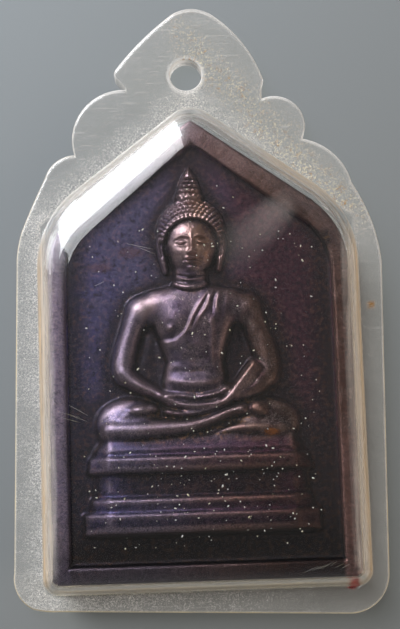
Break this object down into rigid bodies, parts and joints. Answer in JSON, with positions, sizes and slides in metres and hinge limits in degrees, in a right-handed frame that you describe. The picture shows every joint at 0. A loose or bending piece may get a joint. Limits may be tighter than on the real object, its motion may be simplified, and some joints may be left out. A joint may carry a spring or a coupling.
{
  "type": "amulet pendant in a clear case",
  "caption": "House-shaped cast amulet with a seated figure in relief, sealed in a clear plastic case with a lobed flange and a hanging hole.",
  "frame": {"origin": "middle of the flat back, on the surface that the pendant lies on", "axes": "+Z out of the pendant's face, +Y towards the hanging hole, +X to the right seen from the front"},
  "size_m": [0.034, 0.0562, 0.0062],
  "materials": {
    "cast_metal": "cast copper alloy with a dark purple-brown patina, rubbed to copper on the high points",
    "clear_plastic": "clear plastic sheet, slightly yellowed, with fine scratches, dust and haze"
  },
  "bodies": {
    "root": {"amulet": "cast_metal", "case_front": "clear_plastic", "case_back": "clear_plastic"}
  },
  "joints": []
}
